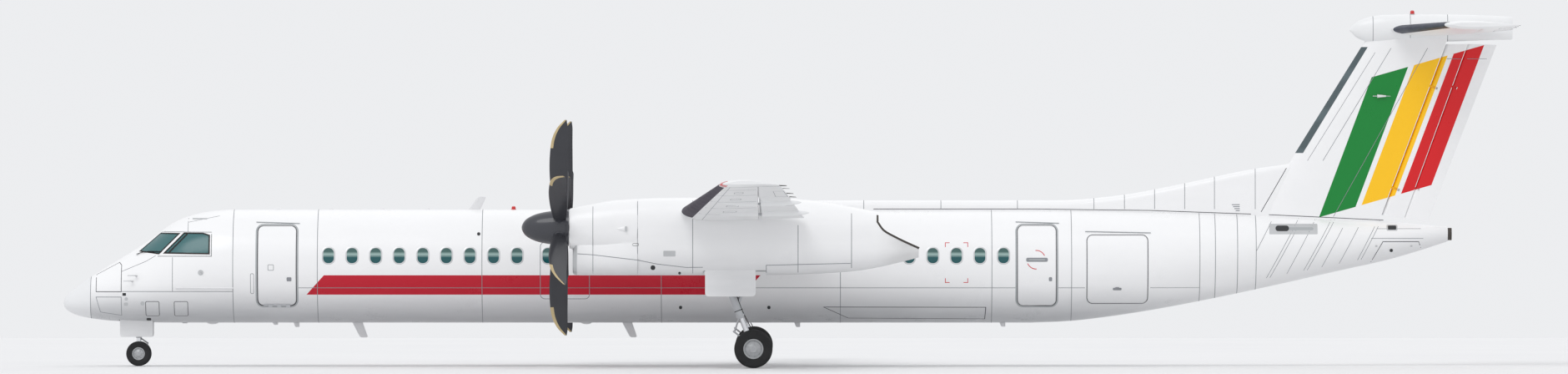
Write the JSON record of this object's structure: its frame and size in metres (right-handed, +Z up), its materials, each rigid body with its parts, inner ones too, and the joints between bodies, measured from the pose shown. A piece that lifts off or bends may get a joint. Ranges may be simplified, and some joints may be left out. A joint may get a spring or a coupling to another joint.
{
  "type": "turboprop airliner",
  "caption": "High-wing regional turboprop airliner with a T-tail, propellers under the wing, working control surfaces and an airstair door, parked on its landing gear.",
  "frame": {"origin": "on the ground under the middle of the airliner's box, halfway along its length and on its centreline", "axes": "+Z up, the nose towards -X, the left side with the entrance towards -Y"},
  "size_m": [32.83, 28.42, 8.05],
  "materials": {
    "body_paint": "gloss",
    "radome_grey": "satin",
    "wing_paint": "satin",
    "cockpit_glass": "gloss",
    "gear_steel": "satin",
    "tyre_rubber": "matte",
    "propeller_black": "satin",
    "engine_metal": "matte",
    "burnt_steel": "matte"
  },
  "bodies": {
    "root": {"radome": "radome_grey", "cockpit_section": "body_paint", "entry_section": "body_paint", "cabin_section": "body_paint", "aft_cabin_section": "body_paint", "tail_section": "body_paint", "front_exit_door": "body_paint", "aft_passenger_door": "body_paint", "aft_service_door": "body_paint", "baggage_door": "body_paint", "nose_door_left": "body_paint", "nose_door_right": "body_paint", "main_door_left_inner": "body_paint", "main_door_left_outer": "body_paint", "main_door_right_inner": "body_paint", "main_door_right_outer": "body_paint", "dorsal_spine": "body_paint", "fin": "body_paint", "tail_bullet": "body_paint", "engine_cowl_left": "body_paint", "engine_cowl_right": "body_paint", "nacelle_left": "body_paint", "nacelle_right": "body_paint", "wing_centre": "wing_paint", "wing_left": "wing_paint", "wing_right": "wing_paint", "tailplane": "wing_paint", "windscreen_left": "cockpit_glass", "windscreen_right": "cockpit_glass", "side_window_left": "cockpit_glass", "side_window_right": "cockpit_glass", "main_leg_left": "gear_steel", "main_leg_right": "gear_steel", "nose_leg": "gear_steel", "engine_left": "engine_metal", "engine_right": "engine_metal", "apu_exhaust": "burnt_steel"},
    "rudder_fore": {"rudder_fore": "body_paint"},
    "rudder_trailing": {"rudder_trailing": "body_paint"},
    "propeller_left": {"propeller_left": "propeller_black"},
    "propeller_right": {"propeller_right": "propeller_black"},
    "main_wheels_left": {"main_wheels_left": "tyre_rubber"},
    "main_wheels_right": {"main_wheels_right": "tyre_rubber"},
    "nose_steering": {"nose_fork": "gear_steel"},
    "nose_wheels": {"nose_wheels": "tyre_rubber"},
    "entry_door": {"entry_door": "body_paint"},
    "flap_inboard_left": {"flap_inboard_left": "wing_paint"},
    "flap_outboard_left": {"flap_outboard_left": "wing_paint"},
    "aileron_left": {"aileron_left": "wing_paint"},
    "spoiler_left": {"spoiler_left": "wing_paint"},
    "elevator_left": {"elevator_left": "wing_paint"},
    "flap_inboard_right": {"flap_inboard_right": "wing_paint"},
    "flap_outboard_right": {"flap_outboard_right": "wing_paint"},
    "aileron_right": {"aileron_right": "wing_paint"},
    "spoiler_right": {"spoiler_right": "wing_paint"},
    "elevator_right": {"elevator_right": "wing_paint"}
  },
  "joints": [
    {"name": "propeller_left_spin", "type": "hinge", "parent": "root", "child": "propeller_left", "pos_m": [-5.115, -4.4, 3.14], "axis": [1, 0, 0], "continuous": true},
    {"name": "propeller_right_spin", "type": "hinge", "parent": "root", "child": "propeller_right", "pos_m": [-5.115, 4.4, 3.14], "axis": [1, 0, 0], "continuous": true},
    {"name": "main_wheels_left_spin", "type": "hinge", "parent": "root", "child": "main_wheels_left", "pos_m": [-0.775, -4.4, 0.43], "axis": [0, 1, 0], "continuous": true},
    {"name": "main_wheels_right_spin", "type": "hinge", "parent": "root", "child": "main_wheels_right", "pos_m": [-0.775, 4.4, 0.43], "axis": [0, 1, 0], "continuous": true},
    {"name": "nose_steering_turn", "type": "hinge", "parent": "root", "child": "nose_steering", "pos_m": [-14.705, 0, 0.5], "axis": [0, 0, 1], "range_deg": [-60, 60]},
    {"name": "nose_wheels_spin", "type": "hinge", "parent": "nose_steering", "child": "nose_wheels", "pos_m": [-14.705, 0, 0.28], "axis": [0, 1, 0], "continuous": true},
    {"name": "rudder_fore_turn", "type": "hinge", "parent": "root", "child": "rudder_fore", "pos_m": [13.7837, 0, 4], "axis": [0.3524, 0, 0.9358], "range_deg": [-18, 18]},
    {"name": "rudder_trailing_turn", "type": "hinge", "parent": "rudder_fore", "child": "rudder_trailing", "pos_m": [14.2654, 0, 4], "axis": [0.3453, 0, 0.9385], "range_deg": [-18, 18]},
    {"name": "elevator_left_turn", "type": "hinge", "parent": "root", "child": "elevator_left", "pos_m": [15.605, -0.26, 7.606], "axis": [0, 0.9999, -0.0159], "range_deg": [-25, 18]},
    {"name": "elevator_right_turn", "type": "hinge", "parent": "root", "child": "elevator_right", "pos_m": [15.605, 0.26, 7.606], "axis": [0, 0.9999, 0.0159], "range_deg": [-25, 18]},
    {"name": "aileron_left_turn", "type": "hinge", "parent": "root", "child": "aileron_left", "pos_m": [-0.5786, -10.42, 3.8637], "axis": [0.008, 0.9974, -0.0715], "range_deg": [-20, 20]},
    {"name": "aileron_right_turn", "type": "hinge", "parent": "root", "child": "aileron_right", "pos_m": [-0.5786, 10.42, 3.8637], "axis": [-0.008, 0.9974, 0.0715], "range_deg": [-20, 20]},
    {"name": "flap_inboard_left_turn", "type": "hinge", "parent": "root", "child": "flap_inboard_left", "pos_m": [-0.5494, -1.31, 3.2789], "axis": [0, 1, 0], "range_deg": [0, 35]},
    {"name": "flap_inboard_right_turn", "type": "hinge", "parent": "root", "child": "flap_inboard_right", "pos_m": [-0.5494, 1.31, 3.2789], "axis": [0, 1, 0], "range_deg": [0, 35]},
    {"name": "flap_outboard_left_turn", "type": "hinge", "parent": "root", "child": "flap_outboard_left", "pos_m": [-0.5496, -5.03, 3.2815], "axis": [0.0071, 0.9966, -0.0826], "range_deg": [0, 35]},
    {"name": "flap_outboard_right_turn", "type": "hinge", "parent": "root", "child": "flap_outboard_right", "pos_m": [-0.5496, 5.03, 3.2815], "axis": [-0.0071, 0.9966, 0.0826], "range_deg": [0, 35]},
    {"name": "spoiler_left_turn", "type": "hinge", "parent": "root", "child": "spoiler_left", "pos_m": [-1.1086, -6.1, 3.7741], "axis": [0.0275, -0.9982, 0.0527], "range_deg": [0, 60]},
    {"name": "spoiler_right_turn", "type": "hinge", "parent": "root", "child": "spoiler_right", "pos_m": [-1.1086, 6.1, 3.7741], "axis": [-0.0275, -0.9982, -0.0527], "range_deg": [0, 60]},
    {"name": "entry_door_swing", "type": "hinge", "parent": "root", "child": "entry_door", "pos_m": [-11.54, -1.0238, 1.382], "axis": [1, 0, 0], "range_deg": [0, 130]}
  ],
  "couplings": [
    {"joint": "rudder_trailing_turn", "follows": "rudder_fore_turn", "ratio": 1},
    {"joint": "elevator_right_turn", "follows": "elevator_left_turn", "ratio": 1},
    {"joint": "aileron_right_turn", "follows": "aileron_left_turn", "ratio": -1},
    {"joint": "flap_inboard_right_turn", "follows": "flap_inboard_left_turn", "ratio": 1},
    {"joint": "flap_outboard_left_turn", "follows": "flap_inboard_left_turn", "ratio": 1},
    {"joint": "flap_outboard_right_turn", "follows": "flap_inboard_left_turn", "ratio": 1}
  ]
}
